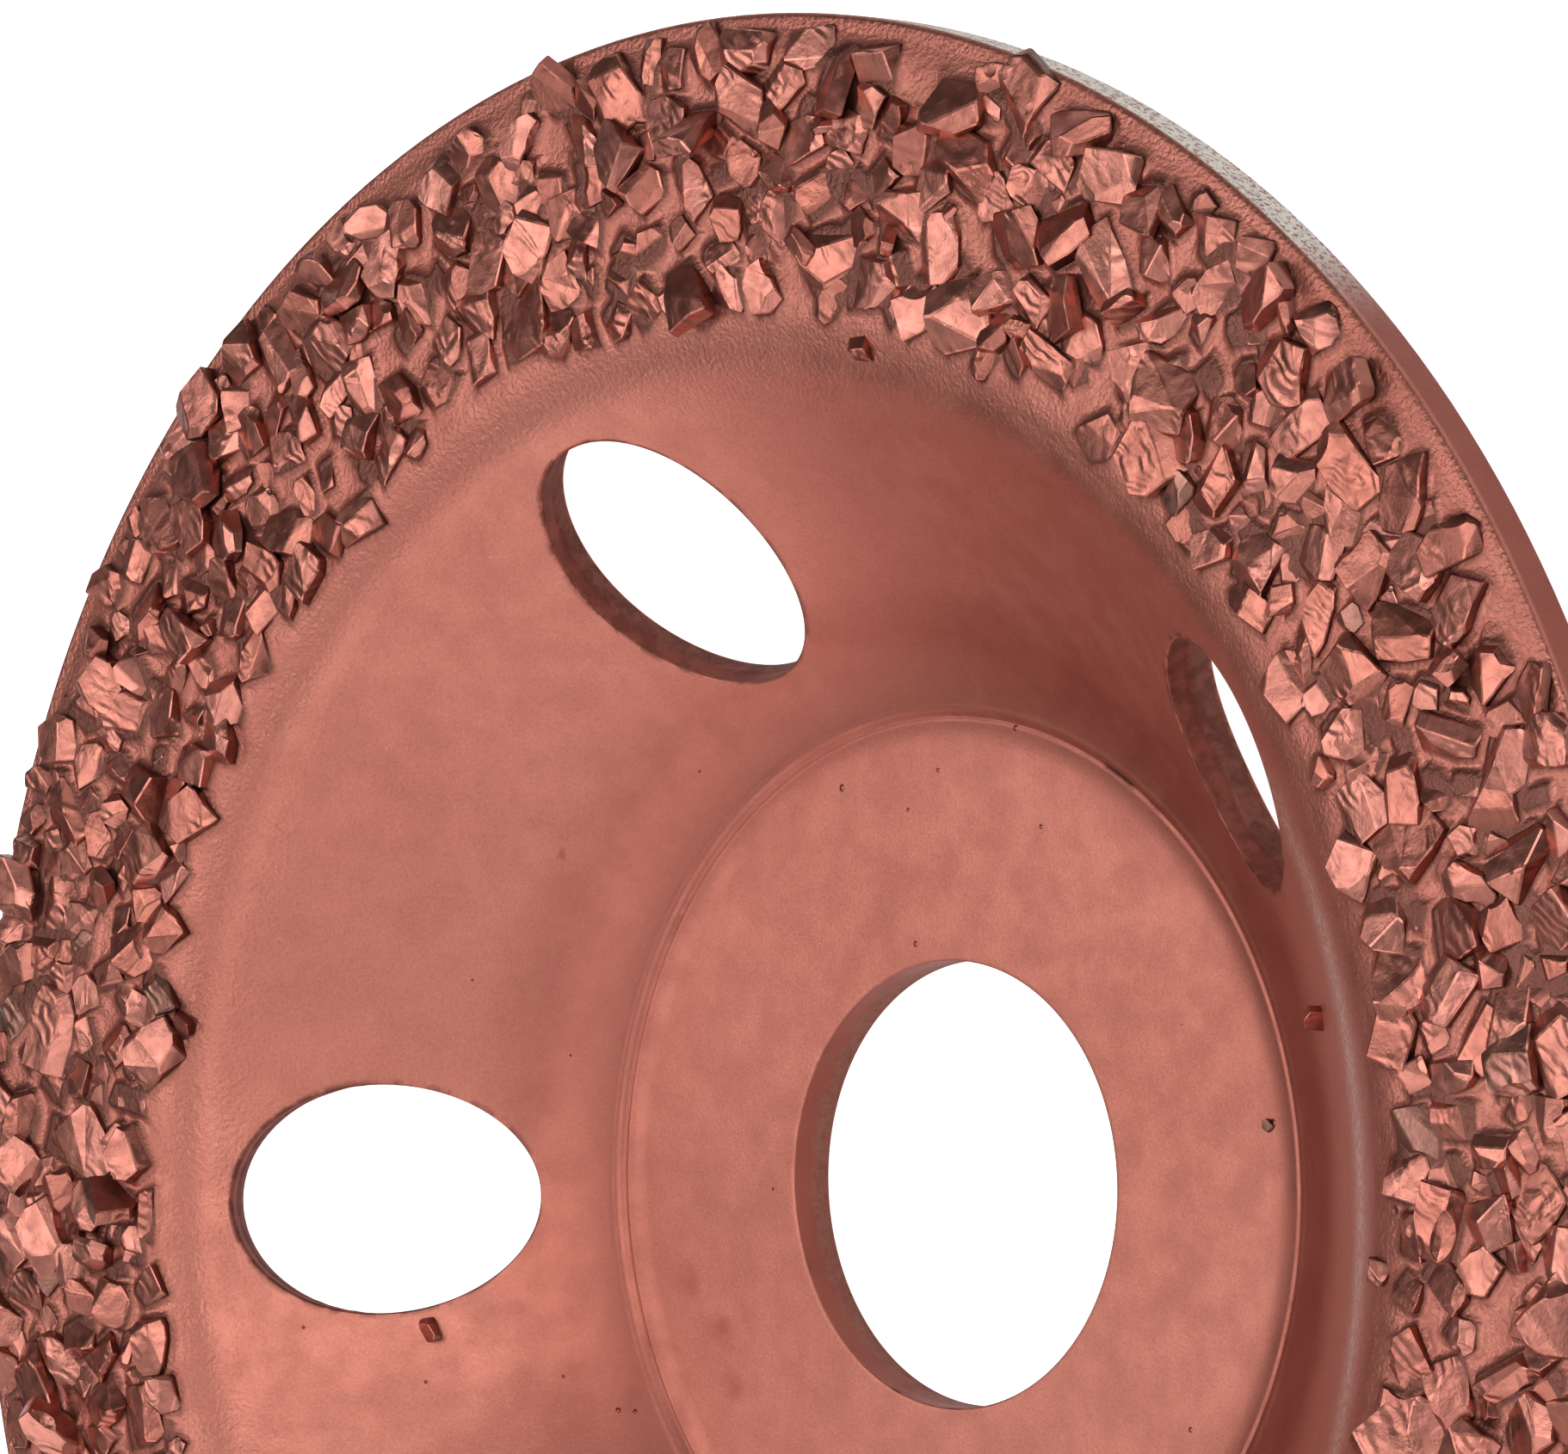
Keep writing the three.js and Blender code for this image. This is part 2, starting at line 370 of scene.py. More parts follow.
def cupMaterial():
    look = cupFinish
    material, tree = newMaterial("copperEnamelOnSteel")
    coords = pieceCoords(tree)
    colour = enamelColour(tree, coords)
    ragged = wornCoords(tree, coords, blemishes["stainRag"])
    # stains, and a painted shade arc across the hub's lower side
    for radius, angle, width, strength in blemishes["stains"]:
        spot = spotValue(tree, ragged, radius, angle, width, blemishes["stainCore"])
        colour = tint(tree, colour, spot, strength, enamel["deep"])
    dust = speckles(tree, coords, *blemishes["dust"])
    colour = tint(tree, colour, dust, blemishes["dustLight"], enamel["dust"])
    pits = speckles(tree, coords, *blemishes["pits"])
    colour = tint(tree, colour, pits, blemishes["pitDark"], enamel["soot"])
    nibs = 0.0
    slightly = wornCoords(tree, coords, blemishes["nibRag"])
    for radius, angle, width in blemishes["nibs"]:
        spot = spotValue(tree, slightly, radius, angle, width, blemishes["nibCore"])
        nibs = plus(tree, spot, nibs)
    # painted shade: a dark line where the enamel climbs each nib
    ring = times(tree, remap(tree, nibs, 0.0, 0.25), remap(tree, nibs, 0.35, 0.7, 1, 0))
    colour = tint(tree, colour, ring, 0.7, enamel["soot"])
    # painted shade in the hollow round the hub and on the holes' walls; the rim's edge is darkened
    # with it too
    colour = tint(tree, colour, markValue(tree, "foot"), look["hollowDark"], enamel["deep"])
    # painted highlight: a pale speckled streak along one side of the wall's top
    dry = times(tree, markValue(tree, "dusted"), noiseMask(tree, coords, look["dry"], 0.2))
    colour = tint(tree, colour, dry, look["dryLight"], enamel["dust"])
    # raw fracture in the punched holes, darker speckle on their walls, and painted shade along the
    # crease and the holes' front edges
    grit = noiseTexture(tree, coords, look["breakScale"], 4, 0.7)
    bare = times(tree, markValue(tree, "bare"), remap(tree, grit, 0.25, 0.6, 0.55, 1.0))
    raw = mixColour(tree, remap(tree, grit, 0.25, 0.75), look["bareSteel"], enamel["deep"])
    colour = mixColour(tree, bare, colour, raw)
    grime = times(tree, markValue(tree, "grime"), noiseMask(tree, coords, look["grime"]))
    colour = mixColour(tree, grime, colour, enamel["soot"])
    # the rim's edge rubbed bright where it has touched something
    rub = times(tree, noiseMask(tree, coords, look["rub"]), markValue(tree, "rubbed"))
    colour = mixColour(tree, rub, colour, look["brightSteel"])
    sheen = noiseMask(tree, coords, look["sheen"], *enamel["roughness"])
    rough = plus(tree, sheen, times(tree, bare, look["breakRoughness"]))
    normal = enamelBumps(tree, coords, plus(tree, markValue(tree, "peel"), 0.5))
    coarse = times(tree, grit, plus(tree, bare, rub))
    normal = addBump(tree, coarse, look["breakDepth"], normal)
    specks = calc(tree, "SUBTRACT", times(tree, dust, 0.5), pits)
    normal = addBump(tree, specks, blemishes["speckDepth"], normal)
    normal = addBump(tree, nibs, blemishes["nibHeight"], normal)
    connect(tree, colour, enamel["metallic"], rough, normal)
    return material


filmFinish = {
    "pits": (2.3 * mm, 0.25, 0.09 * mm),
    "pitDark": 0.60,
    "creviceReach": 0.5 * mm,
    "creviceDark": 0.70,
    "sheen": (600, 3, 0.55, 0.30, 0.70),
    "peel": 3.4,
}


def filmMaterial():
    look = filmFinish
    material, tree = newMaterial("copperEnamelOnBraze")
    coords = pieceCoords(tree)
    colour = enamelColour(tree, coords)
    pits = speckles(tree, coords, *look["pits"])
    colour = tint(tree, colour, pits, look["pitDark"], enamel["soot"])
    # painted shade where the film climbs a grain and in the crevices
    dark = calc(tree, "MAXIMUM", markValue(tree, "grime"),
                occlusionShade(tree, look["creviceReach"]))
    colour = tint(tree, colour, dark, look["creviceDark"], enamel["soot"])
    rough = noiseMask(tree, coords, look["sheen"], *enamel["roughness"])
    normal = enamelBumps(tree, coords, look["peel"])
    connect(tree, colour, enamel["metallic"], rough, normal)
    return material


carbideFinish = {
    "grey": (0.15, 0.12, 0.09),  # of the few grains that the copper hardly covers
    "greyFrom": 0.970,  # share of the grains that the copper covers
    "greyShare": 0.50,
    "metallic": 0.96,
    "roughness": (0.27, 0.41),
    "mottle": (2400, 4, 0.55, 0.32, 0.70),
    "sheen": (900, 3, 0.55, 0.30, 0.70),
    "ribbed": (330, 0, 0.55, 0.52, 0.60),  # where a grain broke in ribs
    "mottleDark": 0.22,
    # painted shade toward each grain's foot
    "footDark": 0.60,
    "creviceReach": 0.9 * mm,
    "creviceDark": 0.85,
    "steepDark": 0.55,  # painted shade on the steep sides
    "swellScale": 620,
    "swellDepth": 0.11 * mm,
    "ribScale": 620,
    "ribDepth": 0.030 * mm,
    "fineScale": 5200,
    "fineDepth": 0.015 * mm,
}


def grainMaterial():
    look = carbideFinish
    material, tree = newMaterial("copperEnamelOnCarbide")
    coords = pieceCoords(tree)
    tone, height = markValue(tree, "tone"), markValue(tree, "height")
    colour = mixColour(tree, tone, enamel["middle"], enamel["crest"])
    mottle = noiseMask(tree, coords, look["mottle"])
    colour = tint(tree, colour, mottle, look["mottleDark"], enamel["deep"])
    greyed = remap(tree, tone, look["greyFrom"], look["greyFrom"] + 0.005)
    colour = tint(tree, colour, greyed, look["greyShare"], look["grey"])
    # painted shade toward each grain's foot and in the crevices between grains
    low = times(tree, remap(tree, height, 0.06, 0.36, 1.0, 0.0), look["footDark"])
    dark = times(tree, occlusionShade(tree, look["creviceReach"]), look["creviceDark"])
    colour = mixColour(tree, calc(tree, "MAXIMUM", low, dark), colour, enamel["soot"])
    # painted shade on the grains' steep sides
    facing = addNode(tree, "ShaderNodeSeparateXYZ")
    tree.links.new(addNode(tree, "ShaderNodeNewGeometry").outputs["True Normal"], facing.inputs[0])
    steep = remap(tree, facing.outputs["Z"], 0.05, 0.55, 1.0, 0.0)
    colour = tint(tree, colour, steep, look["steepDark"], enamel["soot"])
    rough = noiseMask(tree, coords, look["sheen"], *look["roughness"])
    # broken carbide: slow swells, shell ribs here and there and a fine grainy break
    swell = noiseTexture(tree, coords, look["swellScale"], 1.5, distortion=0.5)
    normal = addBump(tree, swell, look["swellDepth"])
    ribs = addNode(tree, "ShaderNodeTexWave", Vector=coords, Scale=look["ribScale"],
                   Distortion=7.0, Detail=1.0, bands_direction="DIAGONAL")
    ribs = times(tree, ribs.outputs["Fac"], noiseMask(tree, coords, look["ribbed"]))
    normal = addBump(tree, ribs, look["ribDepth"], normal)
    fine = noiseTexture(tree, coords, look["fineScale"], 3, 0.6)
    normal = addBump(tree, fine, look["fineDepth"], normal)
    connect(tree, colour, look["metallic"], rough, normal)
    return material


# steel cup: one pressed sheet

cup = {
    "rimRadius": (cupHigh.x - cupLow.x) / 2,
    "rimTop": cupHigh.z,
    "sheet": mounts["hub_front_face"]["pos_m"][2],
    "boreRadius": 22.23 * mm / 2,
    "hubFlatRadius": 43.4 * mm / 2,
    "creaseRadius": 46.6 * mm / 2,
    "creaseLift": 0.25 * mm,
    "creaseGroove": 0.09 * mm,  # depth of the pressed line
    "creaseWidth": 0.15 * mm,
    "creaseDirt": 0.16 * mm,  # width of the painted shade in it
    "footAngle": math.radians(22),
    "footBlend": 14 * mm,
    "wallAngle": math.radians(42.6),
    "kneeRadius": 5 * mm,
    "boreLip": 0.09 * mm,
    "rimLip": 0.30 * mm,
    "rimDroop": 0.05 * mm,  # the flat rim turns down a little at its edge
    "rimDroopWidth": 1.6 * mm,
    "rimPeel": 4.2,  # how much coarser the orange peel is on the rim
    "rimPeelReach": 6 * mm,  # inward from the flat of the rim
    "boreSheared": (0.42, 0.62),  # share of the bore's wall where the smooth shear ends
    "boreRough": 0.045 * mm,
    "boreDark": 1.8,  # painted shade on the bore's wall, where the hollow's is 1
    "edgeDark": 1.7,
    "boreDirt": 0.7,  # painted shade along the bore's front edge
    "edgeBare": 0.35,
    "bareShare": 0.62,  # how far the raw wall of a hole shows through its enamel
    "wallGrime": 0.30,  # dirt on the walls of the holes
    "rubbed": (46, 78),  # degrees between which the rim's edge is rubbed bright
    "rubbedFade": (4, 5),  # degrees over which that begins and ends
    "dustedTurn": (-1.3, 0.75),  # radians between which a painted highlight pales the wall's top
    "dustedFade": 0.5,
    "dustedRadius": 37.6 * mm,
    "dustedWidth": 1.5 * mm,
    "turnSteps": 240,  # points round the disc
    "gridInner": 24.7 * mm,  # the wall between these two radii holds the vents
    "gridOuter": 40.7 * mm,
}
vent = {
    "count": 5,
    "radius": 11.8 * mm / 2,
    "centre": 33.1 * mm,
    "tilt": math.radians(26.6),
    "first": math.pi,
    "lip": 0.12 * mm,
    "backLip": 0.16 * mm,
    "tearOut": 0.18 * mm,  # the back of the hole is wider where it broke out
    "sideSteps": 26,
    "ringSteps": 18,
    "wallSteps": 14,
    "ringGrowth": 1.35,  # how much closer the rings lie near the hole
    "dimple": 0.03 * mm,  # the sheet sinks a little round each hole
    "dimpleReach": 0.9 * mm,
    "sheared": (0.38, 0.55),  # share of the wall where the smooth shear ends
    "roughDepth": 0.05 * mm,
    "tornDepth": 0.06 * mm,
    # painted shade on the vent's wall, where the hollow's is 1
    "wallDark": 1.2,
    # painted shade along the hole's front edge
    "edgeDirt": 0.5,
}
cup["arcSteps"] = cup["turnSteps"] // vent["count"]


def cupFace():
    # the front surface as a dense line of radius, height and slope
    foot, wall = cup["footAngle"], cup["wallAngle"]
    blend, knee = cup["footBlend"], cup["kneeRadius"]
    lines = []
    start, crease = cup["hubFlatRadius"], cup["creaseRadius"]
    lines.append([(r, cup["sheet"], 0.0) for r in np.linspace(cup["boreRadius"], start, 12)])
    rise = np.linspace(0, 1, 20)[1:]
    steepest = 2 * cup["creaseLift"] / (crease - start)
    lines.append([(start + u * (crease - start), cup["sheet"] + cup["creaseLift"] * u * u,
                   math.atan(steepest * u)) for u in rise])
    footR = crease - blend * math.sin(foot)
    footZ = cup["sheet"] + cup["creaseLift"] + blend * math.cos(foot)
    lines.append([(footR + blend * math.sin(a), footZ - blend * math.cos(a), a)
                  for a in np.linspace(foot, wall, 30)[1:]])
    wallStart = lines[-1][-1]
    kneeZ = cup["rimTop"] - knee * (1 - math.cos(wall))
    kneeR = wallStart[0] + (kneeZ - wallStart[1]) / math.tan(wall)
    centre = kneeR + knee * math.sin(wall)
    lines.append([(centre - knee * math.sin(a), cup["rimTop"] - knee * (1 - math.cos(a)), a)
                  for a in np.linspace(wall, 0, 40)])
    lines.append([(cup["rimRadius"], cup["rimTop"], 0.0)])
    return np.array([point for line in lines for point in line])


faceLine = cupFace()
backLine = np.stack([faceLine[:, 0] + cup["sheet"] * np.sin(faceLine[:, 2]),
                     faceLine[:, 1] - cup["sheet"] * np.cos(faceLine[:, 2])], -1)
kneeEnd = faceLine[-2, 0]


def faceHeight(radius):
    height = np.interp(radius, faceLine[:, 0], faceLine[:, 1])
    offset = (radius - cup["creaseRadius"]) / cup["creaseWidth"]
    height = height - cup["creaseGroove"] * np.exp(-offset ** 2)
    ridge = (radius - cup["creaseRadius"] - 2.7 * cup["creaseWidth"]) / (1.3 * cup["creaseWidth"])
    height = height + 0.5 * cup["creaseGroove"] * np.exp(-ridge ** 2)
    edge = np.clip((radius - cup["rimRadius"] + cup["rimDroopWidth"]) / cup["rimDroopWidth"], 0, 1)
    return height - cup["rimDroop"] * edge ** 2


def backHeight(radius):
    return np.interp(radius, backLine[:, 0], backLine[:, 1])


def ventBorder():
    # the edge of one vent's share of the wall, in its own plan view, anticlockwise
    half = math.pi / vent["count"]
    arc, side = cup["arcSteps"], vent["sideSteps"]
    inner, outer = cup["gridInner"], cup["gridOuter"]
    legs = [(outer, turn) for turn in np.linspace(-half, half, arc, endpoint=False)]
    legs += [(radius, half) for radius in np.linspace(outer, inner, side, endpoint=False)]
    legs += [(inner, turn) for turn in np.linspace(half, -half, arc, endpoint=False)]
    legs += [(radius, -half) for radius in np.linspace(inner, outer, side, endpoint=False)]
    return np.array([(r * math.cos(turn), r * math.sin(turn)) for r, turn in legs])


def ventRings(height, centre, radius, lip, side):
    # rings from the hole's edge out to the border, on the surface that height gives
    border = ventBorder()
    middle = np.array([centre, 0.0])
    direct = np.unwrap(np.arctan2(border[:, 1], border[:, 0] - centre))
    even = np.linspace(direct[0], direct[0] + 2 * math.pi, len(border), endpoint=False)
    turns = 0.4 * direct + 0.6 * even  # rays from the hole's middle, partly evened out
    outward = np.stack([np.cos(turns), np.sin(turns)], -1)
    rows = []
    for angle in np.linspace(0, math.pi / 2, 6):
        flat = middle + outward * (radius + lip * (1 - math.cos(angle)))
        z = height(np.hypot(*flat.T)) - side * lip * (1 - math.sin(angle))
        rows.append((flat, z))
    start = rows[-1][0]
    for share in np.linspace(0, 1, vent["ringSteps"] + 1)[1:]:
        flat = start + (border - start) * share ** vent["ringGrowth"]
        rows.append((flat, height(np.hypot(*flat.T))))
    points = np.array([np.column_stack([flat, z]) for flat, z in rows])
    if side > 0:
        away = np.hypot(points[..., 0] - centre, points[..., 1]) - radius
        fade = np.linspace(1, 0, len(points))[:, None] ** 0.5
        points[..., 2] -= vent["dimple"] * np.exp(-away / vent["dimpleReach"]) * fade
    return points


def turned(points, angle):
    spin = np.array(Matrix.Rotation(angle, 3, "Z"))
    return points @ spin.T


def ventPatches(number):
    angle = vent["first"] + number * 2 * math.pi / vent["count"]
    shift = cup["sheet"] / math.cos(cup["wallAngle"] - vent["tilt"]) * math.sin(vent["tilt"])
    front = ventRings(faceHeight, vent["centre"], vent["radius"], vent["lip"], 1)
    back = ventRings(backHeight, vent["centre"] + shift, vent["radius"] + vent["tearOut"],
                     vent["backLip"], -1)
    steps = np.linspace(0, 1, vent["wallSteps"] + 1)[:, None, None]
    wall = front[0] * (1 - steps) + back[0] * steps
    # the front of the hole is sheared smooth, the back broke away rough
    rough = noiseAt(turned(wall, angle).reshape(-1, 3), 1400, number).reshape(wall.shape[:2])
    tear = noiseAt(turned(wall[0], angle), 420, 9.0 + number)
    broken = smoothStep(*vent["sheared"], steps[..., 0] + 0.10 * tear)
    middle = np.array([vent["centre"], 0.0])
    outward = wall[..., :2] - middle
    outward /= np.linalg.norm(outward, axis=-1, keepdims=True)
    ends = np.sin(steps[..., 0] * math.pi)
    push = (vent["roughDepth"] * rough - vent["tornDepth"]) * broken * ends
    wall[..., :2] += outward * push[..., None]
    peel = peelShade(front)
    # painted shade along the hole's front edge
    lipShadeMarks = np.zeros(front.shape[:2])
    lipShadeMarks[1:6] = vent["edgeDirt"]
    # the foot mark paints shade in the hollow and on the hole's wall
    return [
        gridPatch(turned(front, angle), peel=peel, foot=footShade(front), grime=lipShadeMarks,
                  dusted=highlightStreak(turned(front, angle))),
        gridPatch(turned(back, angle), peel=peel),
        gridPatch(turned(wall, angle), bare=cup["bareShare"] * broken, foot=vent["wallDark"],
                  grime=cup["wallGrime"]),
    ]


def lipTurn(radius, height, lip, side, steps=5):
    # the sheet's rounded corner, from the cylinder to the flat; side is 1 on top, -1 below
    angles = np.linspace(0, math.pi / 2, steps)
    return [(radius + lip * (1 - math.cos(a)), height - side * lip * (1 - math.sin(a)))
            for a in angles]


def peelShade(points):
    # the orange peel grows coarser over the knee and the rim
    radius = radiusOf(points)
    return cup["rimPeel"] * smoothStep(kneeEnd - cup["rimPeelReach"], kneeEnd, radius)


def footShade(points):
    # painted shade: 1 in the hollow where the wall meets the hub
    radius = radiusOf(points)
    start, crease = cup["hubFlatRadius"], cup["creaseRadius"]
    return smoothStep(start - 1.5 * mm, crease + 1 * mm, radius) * (
        1 - smoothStep(crease + 3 * mm, crease + 8 * mm, radius))


def highlightStreak(points):
    # painted highlight: a pale speckled streak along one side of the wall's top, near the knee
    radius = radiusOf(points)
    angle = np.arctan2(points[..., 1], points[..., 0])
    (low, high), fade = cup["dustedTurn"], cup["dustedFade"]
    side = smoothStep(low, low + fade, angle) * (1 - smoothStep(high - fade, high, angle))
    return side * np.exp(-((radius - cup["dustedRadius"]) / cup["dustedWidth"]) ** 2)


def hubPatch(turns):
    # from the wall's foot over the front of the hub, through the bore and out along the back
    bore, lip = cup["boreRadius"], cup["boreLip"]
    ramp = cup["creaseRadius"] - 0.5 * mm
    creaseZone = np.linspace(cup["gridInner"], ramp, 34)
    rampZone = np.linspace(ramp, cup["hubFlatRadius"], 8)[1:]
    flatZone = np.linspace(cup["hubFlatRadius"], bore + 3 * lip, 16)[1:]
    line = [(r, faceHeight(r)) for r in (*creaseZone, *rampZone, *flatZone)]
    line += lipTurn(bore, cup["sheet"], lip, 1)[::-1]
    frontEnd = len(line) - 1
    line += [(bore, z) for z in np.linspace(cup["sheet"] - lip, lip, 12)[1:]]
    backStart = len(line) - 1
    line += lipTurn(bore, 0.0, lip, -1)[1:]
    line += [(r, backHeight(r)) for r in np.linspace(bore + 3 * lip, cup["gridInner"], 24)]
    rows = np.array([ringPoints(r, z, turns) for r, z in line])
    bare = np.zeros(rows.shape[:2])
    inBore = np.arange(frontEnd, backStart + 1)
    share = (inBore - frontEnd) / (backStart - frontEnd)
    wobble = noiseAt(rows[inBore].reshape(-1, 3), 900, 3.0).reshape(len(inBore), -1)
    bare[inBore] = cup["bareShare"] * smoothStep(
        *cup["boreSheared"], share[:, None] + 0.14 * wobble)
    push = cup["boreRough"] * wobble * np.sin(share * math.pi)[:, None]
    outward = rows[inBore] * (1, 1, 0) / bore
    rows[inBore] += outward * push[..., None]
    radii = np.array([r for r, z in line])
    # painted shade along the crease and the bore's front edge, and darker speckle on the bore's
    # wall
    grime = np.exp(-((radii - cup["creaseRadius"]) / cup["creaseDirt"]) ** 2)
    grime[frontEnd:] = 0
    grime[inBore] = cup["wallGrime"]
    grime[frontEnd - 3:frontEnd + 2] = cup["boreDirt"]
    patchy = smoothStep(0.05, 0.45, noiseAt(ringPoints(cup["creaseRadius"], 0, turns), 190, 5.0))
    row = np.arange(len(radii))[:, None]
    # painted shade: the hollow at the wall's foot, and the bore's wall
    foot = np.where(row < frontEnd, footShade(rows),
                    np.where(row <= backStart, cup["boreDark"], 0.0))
    return gridPatch(rows, bare=bare, grime=grime[:, None] * patchy[None], foot=foot)


def rimPatch(turns):
    # from the knee over the flat rim, round its edge and back under it
    rim, lip, sheet = cup["rimRadius"], cup["rimLip"], cup["sheet"]
    knee = np.linspace(cup["gridOuter"], kneeEnd, 14)
    flat = np.linspace(kneeEnd, rim - cup["rimDroopWidth"], 14)[1:]
    droop = np.linspace(rim - cup["rimDroopWidth"], rim - lip, 10)[1:]
    line = [(r, faceHeight(r)) for r in (*knee, *flat, *droop)]
    top = line[-1][1]
    line += [(2 * rim - r, z) for r, z in lipTurn(rim, top, lip, 1, 7)[::-1]][1:]
    bottom = cup["rimTop"] - sheet
    edgeStart = len(line)
    line += [(rim, z) for z in np.linspace(line[-1][1], bottom + lip, 10)[1:]]
    line += [(2 * rim - r, z) for r, z in lipTurn(rim, bottom, lip, -1, 6)][1:]
    edgeEnd = len(line)
    line += [(r, backHeight(r)) for r in np.linspace(rim - 1.5 * lip, cup["gridOuter"], 26)]
    rows = np.array([ringPoints(r, z, turns) for r, z in line])
    bare = np.zeros(rows.shape[:2])
    patchy = noiseAt(ringPoints(rim, 0, turns), 60, 8.0)
    bare[edgeStart:edgeEnd] = cup["edgeBare"] * smoothStep(0.1, 0.5, patchy)
    angle, (low, high) = np.degrees(turns) % 360, cup["rubbed"]
    begin, stop = cup["rubbedFade"]
    patch = smoothStep(low - begin, low + begin, angle)
    patch *= 1 - smoothStep(high - stop, high + stop, angle)
    rubbed = np.zeros(rows.shape[:2])
    rubbed[edgeStart - 2:edgeEnd] = patch
    foot = np.zeros(rows.shape[:2])
    foot[edgeStart:edgeEnd] = cup["edgeDark"]
    return gridPatch(rows, bare=bare, rubbed=rubbed, peel=peelShade(rows), foot=foot)


def makeCup():
    turns = vent["first"] - math.pi / vent["count"] + np.arange(cup["turnSteps"]) * (
        2 * math.pi / cup["turnSteps"])
    patches = [hubPatch(turns), rimPatch(turns)]
    for number in range(vent["count"]):
        patches += ventPatches(number)
    piece = weldPatches("steelCup", patches, ["bare", "grime", "peel", "rubbed", "foot", "dusted"])
    piece.data.materials.append(cupMaterial())
    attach(piece, "root")
    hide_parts("steel_cup")
    return piece


steelCup = makeCup()
print("steel cup:", len(steelCup.data.polygons), "faces")


# crushed carbide grains

grain = {
    "shapes": 72,  # different broken shapes, each used many times
    "width": (0.60, 0.95),  # of the block each is broken from, whose length is 1
    "thickness": (0.27, 0.43),
    "sideCuts": (5, 9),
    "sideSlope": (-14, 34),  # degrees the cut's direction points above the ground
    "sideDepth": (0.60, 0.92),  # share of the block left by a cut
    "topCuts": (3, 7),
    "topSlope": (50, 84),
    "topDepth": (0.44, 0.86),
    "shortest": 0.05,  # edge left in place by a cut
    "edgeRound": 0.020,
    "scoops": (0, 3),  # shell-shaped breaks
    "scoopRadius": (0.45, 1.20),
    "scoopDepth": (0.04, 0.13),
    "scoopSlope": (18, 66),
    "ripple": 0.007,
    "rippleLength": 0.12,
    "fewestFaces": 12,  # a hollow that leaves fewer isn't broken out
    "tall": 1.6 * mm,  # rise over the ground where a grain's height mark is 1
    "seed": 7,
}


def cutAway(work, normal, reach):
    # breaks off what lies beyond a plane and closes the block again
    everything = work.verts[:] + work.edges[:] + work.faces[:]
    bmesh.ops.bisect_plane(work, geom=everything, plane_co=Vector(normal * reach),
                           plane_no=Vector(normal), clear_outer=True)
    openEdges = [edge for edge in work.edges if edge.is_boundary]
    if openEdges:
        bmesh.ops.edgeloop_fill(work, edges=openEdges)


def tiltedNormal(random, low, high):
    # a direction whose slope above the ground lies between two angles, in degrees
    turn, slope = random.uniform(0, 2 * math.pi), math.radians(random.uniform(low, high))
    flat = math.cos(slope)
    return np.array([flat * math.cos(turn), flat * math.sin(turn), math.sin(slope)])


def scoopOut(mesh, points, random):
    # breaks a shell-shaped hollow out of the block, rippled round the point of the blow
    radius = random.uniform(*grain["scoopRadius"])
    toward = tiltedNormal(random, *grain["scoopSlope"])
    centre = toward * ((points @ toward).max() + radius - random.uniform(*grain["scoopDepth"]))
    ball = bmesh.new()
    bmesh.ops.create_icosphere(ball, subdivisions=4, radius=radius,
                               matrix=Matrix.Translation(Vector(centre)))
    ballMesh = bpy.data.meshes.new("scoop")
    ball.to_mesh(ballMesh)
    ball.free()
    block, cutter = addObject("block", mesh), addObject("scoop", ballMesh)
    cut = block.modifiers.new("cut", "BOOLEAN")
    cut.operation, cut.object, cut.solver = "DIFFERENCE", cutter, "EXACT"
    result = bpy.data.meshes.new_from_object(
        block.evaluated_get(bpy.context.evaluated_depsgraph_get()))
    for thing in (block, cutter):
        bpy.data.objects.remove(thing)
    blow = centre - radius * tiltedNormal(random, *grain["scoopSlope"])
    hollow = []
    for corner in result.vertices:
        away = np.array(corner.co) - centre
        if abs(np.linalg.norm(away) - radius) < 1e-4:
            hollow.append(corner.index)
            wave = math.sin(2 * math.pi * np.linalg.norm(np.array(corner.co) - blow)
                            / grain["rippleLength"])
            corner.co = Vector(centre + away * (1 + grain["ripple"] * wave / radius))
    return result, set(hollow)


def brokenShape(random):
    # a block with its sides, then its top, then a hollow or two broken off
    work = bmesh.new()
    bmesh.ops.create_cube(work, size=1.0)
    block = np.array([1.0, random.uniform(*grain["width"]), random.uniform(*grain["thickness"])])
    for corner in work.verts:
        corner.co = Vector(np.array(corner.co) * block)
    sides, tops = random.integers(*grain["sideCuts"]), random.integers(*grain["topCuts"])
    for kind in ["side"] * sides + ["top"] * tops:
        normal = tiltedNormal(random, *grain[kind + "Slope"])
        reach = np.abs(normal * block / 2).sum() * random.uniform(*grain[kind + "Depth"])
        cutAway(work, normal, reach)
    bmesh.ops.recalc_face_normals(work, faces=work.faces)
    planes = np.array([(*face.normal, face.normal.dot(face.verts[0].co)) for face in work.faces])
    bmesh.ops.remove_doubles(work, verts=work.verts, dist=grain["shortest"])
    bmesh.ops.bevel(work, geom=work.edges[:], offset=grain["edgeRound"], segments=1,
                    affect="EDGES", clamp_overlap=True)
    points = np.array([corner.co for corner in work.verts])
    mesh = bpy.data.meshes.new("grain")
    work.to_mesh(mesh)
    work.free()
    curved = set()
    for scoop in range(random.integers(*grain["scoops"])):
        scooped, hollow = scoopOut(mesh, points, random)
        if len(scooped.polygons) > grain["fewestFaces"]:
            mesh, curved = scooped, hollow
    points = np.array([corner.co for corner in mesh.vertices])
    faces = [list(face.vertices) for face in mesh.polygons]
    smooth = [len(face) == 3 and curved.issuperset(face) for face in faces]
    return {"points": points, "faces": faces, "smooth": smooth, "planes": planes}


def makeShapes():
    random = np.random.default_rng(grain["seed"])
    return [brokenShape(random) for number in range(grain["shapes"])]


